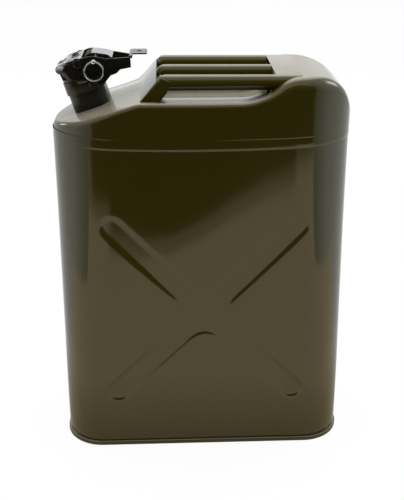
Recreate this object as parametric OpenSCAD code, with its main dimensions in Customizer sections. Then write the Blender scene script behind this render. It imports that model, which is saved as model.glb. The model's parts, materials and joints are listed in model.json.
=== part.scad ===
// Pressed-steel fuel can of about 20 litres.
// A wrapped body with crossed grooves, a drawn top with a three-bar handle, and a leaning
// filler neck with a hinged cap, a lever, a lock pin and a pull ring.
// Millimetres. +Z is up, the front faces -Y, the neck leans to -X, the origin is under the centre.

/* [Can body] */
// Width of the lower body across its walls
body_w = 345; // [335:1:370]
// Depth of the lower body across its walls
body_d = 165; // [160:1:190]
// Plan radius of the upright corners
corner_r = 56; // [45:1:64]
// Thickness of the body's sheet steel
sheet = 0.9; // [0.7:0.1:1.2]
// Height of the lower edge of the top shell's skirt
skirt_z = 387; // [350:1:430]
// Height of the lap between skirt and lower body
lap_h = 14; // [8:1:16]

/* [Bottom rim] */
// Height of the rolled rim
rim_h = 5; // [4:0.5:8]
// Distance that the rim stands out from the wall
rim_out = 2; // [1.5:0.5:4]
// Thickness of steel under the wall's lower edge
rim_floor = 1; // [0.6:0.1:2]

/* [Crossed grooves] */
// Height of the centre of the cross
groove_z = 187; // [160:1:220]
// Half spread of the cross along the width
groove_x = 120; // [90:1:124]
// Half spread of the cross along the height
groove_rise = 120; // [90:1:130]
// Width of a groove at the panel's face
groove_w = 31; // [24:1:36]
// Depth of a groove
groove_depth = 1.5; // [1:0.5:4]
// Width of each sloping side of a groove
groove_run = 6; // [3:0.5:7]
// Radius of the round field where the grooves cross
groove_hub_r = 32; // [26:1:40]

/* [Top shell] */
// Height of the front lip above the skirt's lower edge
lip_h = 49; // [46:1:60]
// Distance from the left wall to the bend between shoulder and lip
shoulder_w = 100.5; // [95:0.5:106]
// Slope of the shoulder, which is also the lean of the neck, in degrees
lean = 17; // [14:1:18]
// Radius of the bend between shoulder and lip
shoulder_r = 20; // [5:1:40]
// Radius of the left edge
left_r = 5; // [3:0.5:9]
// Height of the raised end above the lip
ramp_h = 27; // [24:1:34]
// Length of the S-shaped ramp up to the raised end
ramp_run = 54; // [50:1:60]
// Distance from the right wall to the top of the ramp
ramp_inset = 65; // [60:0.5:68]
// Radius of the raised end's right edge
right_r = 42; // [30:1:50]

/* [Handle] */
// Thickness of the handle's sheet
handle_t = 1.2; // [1:0.1:1.6]
// Half width of the handle across its bars
handle_hw = 64; // [56:1:76]
// Width of a bar
bar_w = 20; // [16:1:24]
// Height of a bar with its liner
bar_h = 16; // [15:0.5:19]
// Depth of the flange along each side of a bar
flange_h = 11.5; // [11:0.5:14.5]
// Distance from the shoulder bend to the foot of the sloped leg
foot_shift = 2; // [0:0.5:6]
// Length of the sloped leg along the width
leg_run = 23; // [18:1:28]
// Length of the slots between the bars
slot_len = 124; // [110:1:130]
// Length of the land that lies on the raised end, from the slots' ends
land_len = 29; // [24:1:36]
// Side height of the liner channels
liner_h = 9; // [7:0.5:11]
// Distance from the leg's bend to the liners' left ends
liner_inset = 8; // [5:1:15]

/* [Filler neck] */
// Distance from the left wall to the neck's centre
neck_inset = 46.5; // [42:0.5:48]
// Width of the neck along the slope
neck_w = 43; // [42:0.5:46]
// Depth of the neck
neck_d = 46; // [44:0.5:50]
// Corner radius of the neck
neck_r = 13; // [10:0.5:16]
// Height of the neck tube along its axis
neck_h = 36; // [33:0.5:42]
// Wall of the neck tube
neck_t = 1.5; // [1.2:0.1:2]
// Outer radius of the spigot through the shoulder
spigot_r = 17.4; // [16.8:0.1:17.8]
// Depth of the spigot below the shoulder
spigot_h = 14; // [13.5:0.5:17]
// Radius of the round pouring bore
bore_r = 13; // [11:0.1:13.2]
// Thickness of the mouth ring's flange
mouth_flange = 3; // [2:0.5:4]
// Height of the mouth ring's plug inside the neck
mouth_plug = 6; // [4:0.5:9]
// Height of the raised seat
seat_h = 2; // [1.5:0.5:3]
// Width of the raised seat
seat_w = 2; // [1.5:0.1:2.2]
// Outer radius of the raised seat
seat_r = 18.5; // [17.5:0.1:19]
// Outer radius of the breather tube
breather_r = 4; // [3.5:0.1:4.5]
// Bore radius of the breather tube
breather_bore = 3; // [2:0.1:3.2]
// Depth of the breather tube below the shoulder
breather_drop = 9; // [8.5:0.5:9]
// Height that the breather tube rises at its far end
breather_rise = 32; // [15:1:36]

/* [Hinge and catch] */
// Thickness of the bracket's band
band_t = 1.4; // [1:0.1:1.6]
// Height of the bracket's band
band_h = 15; // [13:0.5:18]
// Distance of the hinge axis in from the neck's left wall
hinge_inset = 1.5; // [1:0.1:2]
// Height of the hinge axis above the closing disc
hinge_rise = 7.4; // [7.2:0.1:8.5]
// Radius of the cap's knuckles
knuckle_r = 7.5; // [6.8:0.1:7.8]
// Length of each knuckle
knuckle_l = 8; // [6:0.5:9]
// Half width of the bracket's hinge lug
lug_hw = 7.5; // [6:0.5:8]
// Radius of the lug round the hinge pin
lug_r = 6; // [5:0.1:6.2]
// Thickness of the lug's stem
stem_t = 3.5; // [2.5:0.5:4]
// Radius of the hinge pin
hinge_pin_r = 2.5; // [2:0.1:3]
// Radius of the hinge pin's heads
pin_head_r = 4; // [3.5:0.1:4.5]
// Thickness of the hinge pin's heads
pin_head_t = 1.5; // [1:0.1:2]
// Radius of the catch studs
stud_r = 3.5; // [3:0.1:4]
// Distance of the catch studs from the lever's pivot, up the shoulder
catch_u = 7.7; // [7:0.1:8.4]
// Depth of the catch studs below the lever's pivot
catch_drop = 26.2; // [25:0.1:27.5]

/* [Cap] */
// Thickness of the gasket
gasket_t = 1.7; // [1.2:0.1:2.2]
// Width of the gasket ring
gasket_w = 3.8; // [3:0.1:5]
// Thickness of the closing disc
disc_t = 1.6; // [1.2:0.1:2.2]
// Distance that the disc stands back from the neck's side
disc_inset = 2; // [1.5:0.1:3]
// Height of the bridge's top above the disc
bridge_rise = 14.4; // [13.6:0.1:15]
// Thickness of the bridge
bridge_t = 2.5; // [2:0.1:3]
// Radius of the boss under the bridge
boss_r = 8; // [6:0.5:9]
// Radius of the stud's shank
shank_r = 3; // [2.5:0.1:3.4]
// Radius of the stud's round head
head_r = 4.2; // [3.8:0.1:4.6]
// Height of the stud's round head
head_h = 3; // [3:0.5:4.5]
// Thickness of the stud's foot under the disc
stud_foot_t = 1.2; // [0.8:0.1:1.6]
// Thickness of the washer under the round head
washer_t = 1; // [0.8:0.1:1.4]
// Radius of the washer
washer_r = 6; // [5:0.5:6.5]

/* [Lever and lock] */
// Distance of the lever's pivot from the neck's axis
pivot_u = 2.3; // [1.5:0.1:3]
// Height of the lever's pivot above the closing disc
pivot_rise = 9.6; // [9:0.1:10]
// Radius of the bridge's ears round the pivot
ear_r = 6; // [5:0.1:6.3]
// Radius of the pivot rivets
rivet_r = 3; // [2.5:0.1:3.4]
// Radius of the rivet heads
rivet_head_r = 4.6; // [4.2:0.1:5.2]
// Thickness of the rivet heads
rivet_head_t = 1.4; // [1:0.1:1.8]
// Thickness of the lever's side plates
plate_t = 2; // [1.6:0.1:2.4]
// Reach of the side plates from the pivot to the tail
plate_l = 59; // [56:0.5:62]
// Depth of the side plates from the pivot to the jaw's tip
plate_drop = 33; // [32:0.5:35]
// Radius of the side plates' round end
plate_end_r = 9; // [8.5:0.1:9.4]
// Thickness of the lever's strap
strap_t = 1.6; // [1.2:0.1:2]
// Half width of the strap's arch, which widens to the side plates at the tail
strap_hw = 15; // [13:0.5:20]
// Width of the pull tab
tab_w = 26; // [16:1:30]
// Length of the pull tab
tab_l = 16; // [14:1:22]
// Radius of the hole in the pull tab
tab_hole_r = 2.6; // [2:0.1:3.2]
// Radius of the lock pin
lock_r = 2; // [1.6:0.1:2.2]
// Distance of the lock pin from the pivot, along the lever
lock_u = 18.4; // [17:0.1:20]
// Depth of the lock pin below the pivot
lock_drop = 2.7; // [2:0.1:4]
// Distance that the lock pin's tip stands past the far plate
lock_tip = 2.2; // [1.5:0.1:4]
// Radius of the lock pin's ball eye
ball_r = 2.75; // [2.6:0.05:3.2]
// Radius of the hole in the ball eye
eye_r = 1.5; // [1.3:0.05:1.5]
// Outer diameter of the pull ring
ring_d = 23; // [20:0.5:26]
// Wire radius of the pull ring
wire_r = 0.85; // [0.7:0.05:0.95]

/* [Clearances] */
// Gap between lapped or nested sheets
lap_gap = 0.05; // [0.03:0.01:0.1]
// Gap left for a weld
weld_gap = 0.1; // [0.05:0.05:0.3]
// Radial gap of a pin in a fixed hole
pin_gap = 0.05; // [0.02:0.01:0.08]
// Radial gap of a pin in a turning or sliding hole
run_gap = 0.08; // [0.04:0.01:0.1]
// Gap between faces that pass each other
pass_gap = 0.3; // [0.2:0.05:0.5]
// Gap round a catch stud in the lever's jaw
jaw_gap = 1.2; // [1:0.1:1.5]

/* [Hidden] */

$fn = 96;
over = 1;          // how far a cutting tool runs past the face that it cuts
arc_steps = 12;    // straight steps along an arc of the roof line
corner_swell = 0.2; // how much fuller a bent tube is at its corners

olive = [0.20, 0.17, 0.07];
closure_black = [0.07, 0.07, 0.06];
bright_steel = [0.75, 0.75, 0.74];
seal_grey = [0.12, 0.12, 0.13];

// Roof line of the top shell
top_hw = body_w / 2 + lap_gap + sheet;
lip_z = skirt_z + lip_h;
raised_z = lip_z + ramp_h;
shoulder_x = -body_w / 2 + shoulder_w;
ramp_end_x = body_w / 2 - ramp_inset;
ramp_x = ramp_end_x - ramp_run;
ramp_r = (ramp_run * ramp_run + ramp_h * ramp_h) / (4 * ramp_h);
ramp_angle = 2 * atan(ramp_h / ramp_run);

// Neck frame: u runs up the shoulder, w runs along the neck's axis
neck_x = -body_w / 2 + neck_inset;
neck_z = lip_z - (shoulder_x - neck_x) * tan(lean);

// Heights along the neck's axis
seat_top = neck_h + mouth_flange + seat_h;
gasket_low = seat_top + pass_gap;
disc_low = gasket_low + gasket_t;
disc_top = disc_low + disc_t;
bridge_top = disc_top + bridge_rise;
bridge_low = bridge_top - bridge_t;
disc_r = neck_w / 2 - disc_inset;
shank_hole_r = shank_r + pin_gap;

// Pivots in the neck frame
hinge = [-neck_w / 2 + hinge_inset, disc_top + hinge_rise];
pivot = [pivot_u, disc_top + pivot_rise];
lock = pivot + [lock_u, -lock_drop];
catch = pivot + [catch_u, -catch_drop];

// Layers across the closure, from the middle plane outwards
band_out = neck_d / 2 + lap_gap + band_t;
plate_in = band_out + pass_gap + lap_gap;
plate_out = plate_in + plate_t;
bridge_hw = plate_in - pass_gap;
knuckle_in = lug_hw + pass_gap;
knuckle_out = knuckle_in + knuckle_l;
eye_y = -plate_out - pass_gap - ball_r;
ring_r = ring_d / 2 - wire_r;

// Handle line
handle_top = raised_z + weld_gap + handle_t;
bend_x = shoulder_x + foot_shift + leg_run;
leg_slope = (handle_top - lip_z) / leg_run;
leg_sink = 5;      // how far the leg is drawn below the lip before it is trimmed to the roof
slot_end_x = bend_x + slot_len;
handle_line = [
    [bend_x - (handle_top - lip_z + leg_sink) / leg_slope, lip_z - leg_sink],
    [bend_x, handle_top],
    [slot_end_x + land_len, handle_top]
];

// Points on an arc from angle a0 to a1
function arc(c, r, a0, a1) =
    [for (i = [0:arc_steps]) let (a = a0 + (a1 - a0) * i / arc_steps) c + r * [cos(a), sin(a)]];

// A line shifted sideways by d, to the left of its direction, with mitred corners
function side(a, b) = let (t = (b - a) / norm(b - a)) [-t[1], t[0]];
function mitre(line, i) =
    i == 0 ? side(line[0], line[1])
    : i == len(line) - 1 ? side(line[i - 1], line[i])
    : let (n = side(line[i - 1], line[i]), m = side(line[i], line[i + 1])) (n + m) / (1 + n * m);
function shifted(line, d) = [for (i = [0:len(line) - 1]) line[i] + d * mitre(line, i)];
function reversed(list) = [for (i = [len(list) - 1:-1:0]) list[i]];
function ribbon(line, d0, d1) = concat(shifted(line, d0), reversed(shifted(line, d1)));

// Place in the can's frame of a point in the neck frame
function from_neck(p) = [
    neck_x + p[0] * cos(lean) - p[1] * sin(lean),
    neck_z + p[0] * sin(lean) + p[1] * cos(lean)
];

// Roof outline, drawn in by d from the outer face
function roof(d) = concat(
    [[-top_hw + d, skirt_z - over]],
    arc([-top_hw + left_r, lip_z - (shoulder_x + top_hw - left_r) * tan(lean) - left_r / cos(lean)],
        left_r - d, 180, 90 + lean),
    arc([shoulder_x + shoulder_r * tan(lean / 2), lip_z - shoulder_r], shoulder_r - d, 90 + lean, 90),
    arc([ramp_x, lip_z + ramp_r], ramp_r + d, -90, -90 + ramp_angle),
    arc([ramp_end_x, raised_z - ramp_r], ramp_r - d, 90 + ramp_angle, 90),
    arc([top_hw - right_r, raised_z - right_r], right_r - d, 90, 0),
    [[top_hw - d, skirt_z - over]]
);

module rounded_rect(w, d, r) {
    square([w, d - 2 * r], center = true);
    square([w - 2 * r, d], center = true);
    for (x = [-1, 1], y = [-1, 1])
        translate([x * (w / 2 - r), y * (d / 2 - r)]) circle(r);
}

// Upright prism on the can's plan, grown outwards by g
module plan_prism(g, z0, z1) {
    translate([0, 0, z0]) linear_extrude(z1 - z0)
        rounded_rect(body_w + 2 * g, body_d + 2 * g, corner_r + g);
}

// Prism on the neck's section, grown outwards by g, in the neck frame
module neck_prism(g, w0, w1) {
    translate([0, 0, w0]) linear_extrude(w1 - w0)
        rounded_rect(neck_w + 2 * g, neck_d + 2 * g, neck_r + g);
}

// Extrusion of an XZ outline from y0 to y1
module along_y(y0, y1) {
    translate([0, y1, 0]) rotate([90, 0, 0]) linear_extrude(y1 - y0) children();
}

// Round bar along Y through a point of the XZ plane
module rod_y(p, r, y0, y1) {
    translate([p[0], y1, p[1]]) rotate([90, 0, 0]) cylinder(r = r, h = y1 - y0);
}

module in_neck_frame() {
    translate([neck_x, 0, neck_z]) rotate([0, -lean, 0]) children();
}

module both_sides() {
    children();
    mirror([0, 1, 0]) children();
}

// Solid under the roof line, across the whole depth
module under_roof(d) {
    along_y(-body_d, body_d) polygon(roof(d));
}

// Cutting tool for the front groove cross, grown sideways by g
module groove_tool(depth, g) {
    spread = norm([groove_x, groove_rise]) - groove_w / 2;
    low_hw = groove_w / 2 - groove_run * depth / groove_depth + g;
    top_hw = groove_w / 2 + groove_run * over / groove_depth + g;
    flare = top_hw - low_hw;
    translate([0, -body_d / 2, groove_z]) rotate([-90, 0, 0]) {
        translate([0, 0, -over])
            cylinder(r1 = groove_hub_r + g, r2 = groove_hub_r + g - flare, h = depth + over);
        for (turn = [-1, 1]) rotate([0, 0, turn * atan2(groove_rise, groove_x)]) {
            rotate([90, 0, 90]) linear_extrude(2 * spread, center = true)
                polygon([[-top_hw, -over], [top_hw, -over], [low_hw, depth], [-low_hw, depth]]);
            for (end = [-1, 1]) translate([end * spread, 0, -over])
                cylinder(r1 = top_hw, r2 = low_hw, h = depth + over);
        }
    }
}

module lower_body() {
    top = skirt_z + lap_h;
    color(olive) difference() {
        difference() {
            plan_prism(0, rim_floor, top);
            both_sides() groove_tool(groove_depth, 0);
        }
        difference() {
            plan_prism(-sheet, rim_floor - over, top + over);
            both_sides() groove_tool(groove_depth + sheet, groove_run * sheet / groove_depth + sheet);
        }
    }
}

module bottom_end() {
    color(olive) difference() {
        plan_prism(rim_out, 0, rim_h);
        plan_prism(-2 * sheet - lap_gap, -over, rim_h - sheet);
        difference() {
            plan_prism(lap_gap, rim_floor, rim_h + over);
            plan_prism(-sheet - lap_gap, rim_floor - over, rim_h + 2 * over);
        }
    }
}

module top_shell() {
    color(olive) difference() {
        intersection() {
            under_roof(0);
            plan_prism(lap_gap + sheet, skirt_z, raised_z + over);
        }
        intersection() {
            under_roof(sheet);
            plan_prism(lap_gap, skirt_z - over, raised_z + over);
        }
        in_neck_frame() translate([0, 0, -spigot_h]) cylinder(r = spigot_r + pin_gap, h = 2 * spigot_h);
    }
}

module handle_stamping() {
    flange_z = handle_top - flange_h;
    color(olive) difference() {
        union() {
            along_y(-handle_hw, handle_hw) polygon(ribbon(handle_line, 0, -handle_t));
            both_sides() along_y(handle_hw - handle_t, handle_hw)
                polygon(ribbon(handle_line, 0, -flange_h));
            both_sides() for (y = [handle_hw - bar_w, bar_w / 2 - handle_t])
                along_y(y, y + handle_t) polygon([
                    [bend_x, handle_top],
                    [slot_end_x, handle_top],
                    [slot_end_x, flange_z],
                    [bend_x - flange_h / leg_slope, flange_z]
                ]);
        }
        both_sides() translate([bend_x, bar_w / 2, flange_z - over])
            cube([slot_len, handle_hw - 1.5 * bar_w, flange_h + 2 * over]);
        under_roof(-weld_gap);
    }
}

// Channel that closes a bar from below; y is the bar's middle
module handle_liner(y) {
    hw = bar_w / 2 - handle_t - lap_gap;
    low = handle_top - bar_h;
    color(olive) difference() {
        translate([bend_x + liner_inset, y - hw, low])
            cube([slot_len - liner_inset, 2 * hw, liner_h]);
        translate([bend_x, y - hw + sheet, low + sheet])
            cube([slot_len + over, 2 * (hw - sheet), liner_h]);
        under_roof(-pass_gap);
    }
}

module handle_liner_front() handle_liner(-handle_hw + bar_w / 2);
module handle_liner_middle() handle_liner(0);
module handle_liner_rear() handle_liner(handle_hw - bar_w / 2);

module filler_neck() {
    color(closure_black) in_neck_frame() difference() {
        union() {
            neck_prism(0, 0, neck_h);
            translate([0, 0, -spigot_h]) cylinder(r = spigot_r, h = spigot_h + over);
        }
        neck_prism(-neck_t, neck_t, neck_h + over);
        translate([0, 0, -spigot_h - over]) cylinder(r = spigot_r - neck_t, h = spigot_h + neck_t + 2 * over);
        translate([0, 0, -breather_drop]) rotate([0, 90, 0]) cylinder(r = breather_bore, h = spigot_r + over);
    }
}

module mouth_ring() {
    color(closure_black) in_neck_frame() difference() {
        union() {
            neck_prism(-neck_t - lap_gap, neck_h - mouth_plug, neck_h + over);
            neck_prism(0, neck_h, neck_h + mouth_flange);
            ring_plate(seat_r, seat_r - seat_w, neck_h + mouth_flange / 2, mouth_flange / 2 + seat_h);
        }
        translate([0, 0, neck_h - mouth_plug - over])
            cylinder(r = bore_r, h = mouth_plug + mouth_flange + seat_h + 2 * over);
    }
}

// Round rod along a line of XZ points, with slightly fuller ball corners and plain ends
module bent_rod(line, r) {
    for (i = [0:len(line) - 2]) {
        step = line[i + 1] - line[i];
        translate([line[i][0], 0, line[i][1]]) rotate([0, atan2(step[0], step[1]), 0])
            cylinder(r = r, h = norm(step));
        if (i > 0) translate([line[i][0], 0, line[i][1]]) sphere(r + corner_swell);
    }
}

module breather_tube() {
    start = from_neck([spigot_r - neck_t, -breather_drop]);
    run_z = lip_z - sheet - breather_drop - breather_r;
    line = [
        start,
        [start[0] + (run_z - start[1]) / tan(lean), run_z],
        [ramp_end_x, run_z],
        [ramp_end_x, run_z + breather_rise]
    ];
    bore_line = [line[0], line[1], line[2], line[3] + [0, over]];
    color(bright_steel) difference() {
        bent_rod(line, breather_r);
        bent_rod(bore_line, breather_bore);
        in_neck_frame() translate([0, 0, -2 * spigot_h]) cylinder(r = spigot_r + weld_gap, h = 2 * spigot_h);
    }
}

module neck_bracket() {
    top = neck_h - weld_gap;
    out = neck_w / 2 + lap_gap + band_t;
    color(closure_black) in_neck_frame() difference() {
        union() {
            difference() {
                neck_prism(lap_gap + band_t, top - band_h, top);
                neck_prism(lap_gap, top - band_h - over, top + over);
            }
            along_y(-lug_hw, lug_hw) {
                polygon([
                    [-out - stem_t + band_t, top - band_h],
                    [-out, top - band_h],
                    [-out, top],
                    [hinge[0] - lug_r / 2, hinge[1]],
                    [hinge[0] - lug_r, hinge[1]],
                    [-out - stem_t + band_t, top]
                ]);
                translate(hinge) circle(lug_r);
            }
        }
        rod_y(hinge, hinge_pin_r + pin_gap, -lug_hw - over, lug_hw + over);
    }
}

module catch_studs() {
    color(closure_black) in_neck_frame() both_sides() difference() {
        rod_y(catch, stud_r, -plate_out, -band_out + band_t);
        neck_prism(lap_gap + band_t, 0, neck_h);
    }
}

module hinge_pin() {
    color(closure_black) in_neck_frame() {
        rod_y(hinge, hinge_pin_r, -knuckle_out - over, knuckle_out + over);
        both_sides() rod_y(hinge, pin_head_r, knuckle_out + weld_gap, knuckle_out + weld_gap + pin_head_t);
    }
}

module cap_bridge() {
    right = pivot[0] + ear_r;
    color(closure_black) in_neck_frame() difference() {
        union() {
            translate([hinge[0], -bridge_hw, bridge_low]) cube([right - hinge[0], 2 * bridge_hw, bridge_t]);
            both_sides() along_y(bridge_hw - bridge_t, bridge_hw) {
                translate(pivot) circle(ear_r);
                translate([pivot[0] - ear_r, pivot[1]]) square([2 * ear_r, bridge_top - pivot[1]]);
            }
            translate([0, 0, disc_top]) cylinder(r = boss_r, h = bridge_low - disc_top + over);
            both_sides() rod_y(hinge, knuckle_r, knuckle_in, knuckle_out);
        }
        translate([hinge[0] - over, -knuckle_in, bridge_low - over])
            cube([knuckle_r + 2 * over, 2 * knuckle_in, bridge_t + 2 * over]);
        both_sides() translate([hinge[0] - over, knuckle_out, bridge_low - over])
            cube([knuckle_r + over, bridge_hw, bridge_t + 2 * over]);
        rod_y(hinge, hinge_pin_r + run_gap, -bridge_hw, bridge_hw);
        rod_y(pivot, rivet_r + pin_gap, -bridge_hw - over, -bridge_hw + bridge_t + over);
        rod_y(pivot, rivet_r + pin_gap, bridge_hw - bridge_t - over, bridge_hw + over);
        translate([0, 0, disc_top - over]) cylinder(r = shank_hole_r, h = bridge_rise + 2 * over);
    }
}

// Flat ring round the neck's axis
module ring_plate(r_out, r_in, w0, t) {
    translate([0, 0, w0]) difference() {
        cylinder(r = r_out, h = t);
        translate([0, 0, -over]) cylinder(r = r_in, h = t + 2 * over);
    }
}

module closing_disc() {
    color(closure_black) in_neck_frame() ring_plate(disc_r, shank_hole_r, disc_low, disc_t);
}

module cap_gasket() {
    color(seal_grey) in_neck_frame() ring_plate(disc_r, disc_r - gasket_w, gasket_low, gasket_t);
}

module stud_washer() {
    color(closure_black) in_neck_frame() ring_plate(washer_r, shank_hole_r, bridge_top, washer_t);
}

module disc_stud() {
    head_low = bridge_top + washer_t;
    color(closure_black) in_neck_frame() {
        translate([0, 0, disc_low - stud_foot_t]) {
            cylinder(r = 2 * shank_r, h = stud_foot_t);
            cylinder(r = shank_r, h = head_low - disc_low + stud_foot_t + over);
        }
        translate([0, 0, head_low]) cylinder(r = head_r, h = head_h / 2);
        translate([0, 0, head_low + head_h / 2]) cylinder(r1 = head_r, r2 = head_r / 2, h = head_h / 2);
    }
}

module pivot_rivets() {
    outer = plate_out + weld_gap;
    color(closure_black) in_neck_frame() both_sides() {
        rod_y(pivot, rivet_r, bridge_hw - bridge_t, outer + rivet_head_t / 2);
        rod_y(pivot, rivet_head_r, outer, outer + rivet_head_t);
    }
}

// Place on the lever, as shares of the side plates' reach and depth
function on_lever(share) = pivot + [share[0] * plate_l, share[1] * plate_drop];

// Outline of a side plate: top edge, tail, stepped lower edge and the jaw's tip
plate_shares = [
    [-0.19, 0.06], [0.04, 0.12], [0.19, 0.14], [0.31, 0.10], [0.42, 0.01], [0.56, -0.13],
    [0.72, -0.20], [1.00, -0.31], [0.95, -0.65], [0.74, -0.61], [0.66, -0.69],
    [0.53, -0.71], [0.36, -0.91], [0.23, -0.99]
];

// Side plate of the lever; its jaw clears the path of the catch stud round the pivot
module lever_plate() {
    catch_l = norm(catch - pivot);
    catch_a = atan2(-catch_drop, catch_u);
    jaw_r = stud_r + jaw_gap;
    jaw_a = catch_a + asin(jaw_r / catch_l);
    end = pivot - [plate_end_r + jaw_gap, 0.7 * plate_end_r];
    jaw = [for (a = [jaw_a, 2 * catch_a - jaw_a, catch_a - 30])
        pivot + (catch_l - jaw_r) * [cos(a), sin(a)]];
    outline = concat(
        [for (share = plate_shares) on_lever(share)],
        [pivot + catch_l * [cos(jaw_a), sin(jaw_a)]],
        jaw,
        [end - [0, 0.9 * plate_end_r]]
    );
    color(closure_black) in_neck_frame() difference() {
        union() {
            rod_y(end, plate_end_r, -plate_out, -plate_in);
            along_y(-plate_out, -plate_in) polygon(outline);
        }
        rod_y(pivot, rivet_r + run_gap, -plate_out - over, -plate_in + over);
        rod_y(lock, lock_r + run_gap, -plate_out - over, -plate_in + over);
    }
}

module lever_plate_front() lever_plate();
module lever_plate_rear() mirror([0, 1, 0]) lever_plate();

module lever_strap() {
    hw = plate_in - weld_gap;
    hump = [
        [0.16, 0.12], [0.26, 0.17], [0.35, 0.14], [0.53, -0.01], [0.64, -0.12], [0.79, -0.23], [0.91, -0.26],
        [1.04, -0.28]
    ];
    tail_u = on_lever(hump[4])[0];
    tab_start = on_lever(hump[len(hump) - 1]);
    tab_run = [cos(lean), -sin(lean)];
    notch_u = on_lever([0.27, 0])[0];
    hole = tab_start + 0.6 * tab_l * tab_run;
    line = concat([for (share = hump) on_lever(share)], [tab_start + tab_l * tab_run]);
    color(closure_black) in_neck_frame() difference() {
        along_y(-hw, hw) polygon(ribbon(line, 0, -strap_t));
        both_sides() translate([0, strap_hw, 0]) cube([tail_u, hw, 2 * bridge_top]);
        both_sides() translate([tab_start[0], tab_w / 2, 0]) cube([2 * tab_l, hw, 2 * bridge_top]);
        translate([0, -boss_r - over, 0]) cube([notch_u, 2 * (boss_r + over), 2 * bridge_top]);
        translate([hole[0], 0, hole[1]]) rotate([0, lean, 0])
            cylinder(r = tab_hole_r, h = 4 * strap_t, center = true);
    }
}

module lock_pin() {
    eye = from_neck(lock);
    color(bright_steel) difference() {
        union() {
            rod_y(eye, lock_r, eye_y + 0.6 * ball_r, plate_out + lock_tip);
            translate([eye[0], eye_y, eye[1]]) rotate([0, 90, 0]) sphere(ball_r);
        }
        translate([eye[0], eye_y, eye[1]]) rotate([0, 90, 0])
            cylinder(r = eye_r, h = 4 * ball_r, center = true);
    }
}

module pull_ring() {
    eye = from_neck(lock);
    color(bright_steel) translate([eye[0], eye_y, eye[1] - ring_r]) rotate([90, 0, 0])
        rotate_extrude() translate([ring_r, 0]) circle(wire_r, $fn = 24);
}

lower_body();
bottom_end();
top_shell();
handle_stamping();
handle_liner_front();
handle_liner_middle();
handle_liner_rear();
filler_neck();
mouth_ring();
breather_tube();
neck_bracket();
catch_studs();
hinge_pin();
cap_bridge();
closing_disc();
cap_gasket();
disc_stud();
stud_washer();
pivot_rivets();
lever_strap();
lever_plate_front();
lever_plate_rear();
lock_pin();
pull_ring();
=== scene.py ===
# %% [markdown]
# A pressed-steel fuel can, dressed for the camera. The packed model is the fixed frame: every piece
# made here sits where the construction model says, in metres, and rides on one of its moving bodies.
# This first cell loads the frame: its pieces, set in place, and its joints.

# %% Load the frame
import json
import math

import bmesh
import bpy
import numpy as np
from mathutils import Matrix, Vector


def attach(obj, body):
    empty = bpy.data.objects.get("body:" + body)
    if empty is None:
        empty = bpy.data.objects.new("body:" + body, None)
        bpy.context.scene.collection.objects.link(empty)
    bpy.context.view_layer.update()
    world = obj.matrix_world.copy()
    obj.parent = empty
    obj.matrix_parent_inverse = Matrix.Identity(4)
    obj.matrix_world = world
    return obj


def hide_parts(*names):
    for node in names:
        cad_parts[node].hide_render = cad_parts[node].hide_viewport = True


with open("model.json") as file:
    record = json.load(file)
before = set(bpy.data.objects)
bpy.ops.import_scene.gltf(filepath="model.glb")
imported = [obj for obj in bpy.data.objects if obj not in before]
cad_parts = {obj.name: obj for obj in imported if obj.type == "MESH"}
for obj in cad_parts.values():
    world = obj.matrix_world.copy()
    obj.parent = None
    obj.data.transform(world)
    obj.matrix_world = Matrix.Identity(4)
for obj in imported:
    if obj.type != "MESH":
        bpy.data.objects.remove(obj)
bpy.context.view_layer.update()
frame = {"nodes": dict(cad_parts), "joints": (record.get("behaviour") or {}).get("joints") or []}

cap_hinge = next(joint for joint in frame["joints"] if joint["name"] == "cap_hinge")
HINGE_X, _, HINGE_Z = cap_hinge["pos_m"]

# %% [markdown]
# The pieces are easier to think about in millimetres, the unit that a sheet-metal worker uses, and
# Blender works in metres. Each surface is computed as a grid of points in millimetres, and one helper
# turns a grid into a mesh: rows and columns become quads, and a closed direction joins its last column
# to its first. The whole grid is one array, so no loop runs over single points.

# %% Turn a grid of points into a mesh
MM = 0.001
SHARP_FOLD = math.radians(38)


def grid_quads(rows, cols, close_cols, close_rows, start):
    """Quads between neighbouring grid points; the closed directions wrap round to the first line."""
    index = np.arange(rows * cols).reshape(rows, cols) + start
    if close_cols:
        index = np.hstack([index, index[:, :1]])
    if close_rows:
        index = np.vstack([index, index[:1]])
    corners = [index[:-1, :-1], index[:-1, 1:], index[1:, 1:], index[1:, :-1]]
    return np.stack([c.ravel() for c in corners], axis=1)


def hand_over(piece, body, stood_for):
    """Puts a piece in the scene, hangs it on the body that it rides on, hides the node that it stands for and
    prints what it rides on.
    """
    bpy.context.scene.collection.objects.link(piece)
    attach(piece, body)
    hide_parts(stood_for)
    print(piece.name, "on", body, len(piece.data.polygons), "faces")


class Sheet:
    """Collects grids of points, in millimetres, and builds one mesh object from them."""

    def __init__(self):
        self.points = np.zeros((0, 3))
        self.faces = []

    def add_grid(self, grid, close_cols=False, close_rows=False, cap_ends=False):
        """Adds a grid of rows, columns and 3. cap_ends closes the first and last row with a face each."""
        rows, cols = grid.shape[:2]
        start = len(self.points)
        self.points = np.vstack([self.points, grid.reshape(-1, 3)])
        self.faces += grid_quads(rows, cols, close_cols, close_rows, start).tolist()
        if cap_ends:
            first = np.arange(cols) + start
            last = first + (rows - 1) * cols
            self.faces += [first[::-1].tolist(), last.tolist()]

    def build(self, name, material, body, stood_for, merge=0.02):
        """Makes the object, merges doubled points and points its faces outwards."""
        mesh = bpy.data.meshes.new(name)
        mesh.from_pydata((self.points * MM).tolist(), [], self.faces)
        cleaned = bmesh.new()
        cleaned.from_mesh(mesh)
        bmesh.ops.remove_doubles(cleaned, verts=cleaned.verts, dist=merge * MM)
        bmesh.ops.recalc_face_normals(cleaned, faces=cleaned.faces)
        cleaned.to_mesh(mesh)
        cleaned.free()
        mesh.shade_smooth()
        mesh.set_sharp_from_angle(angle=SHARP_FOLD)
        mesh.materials.append(material)
        hand_over(bpy.data.objects.new(name, mesh), body, stood_for)


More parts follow.
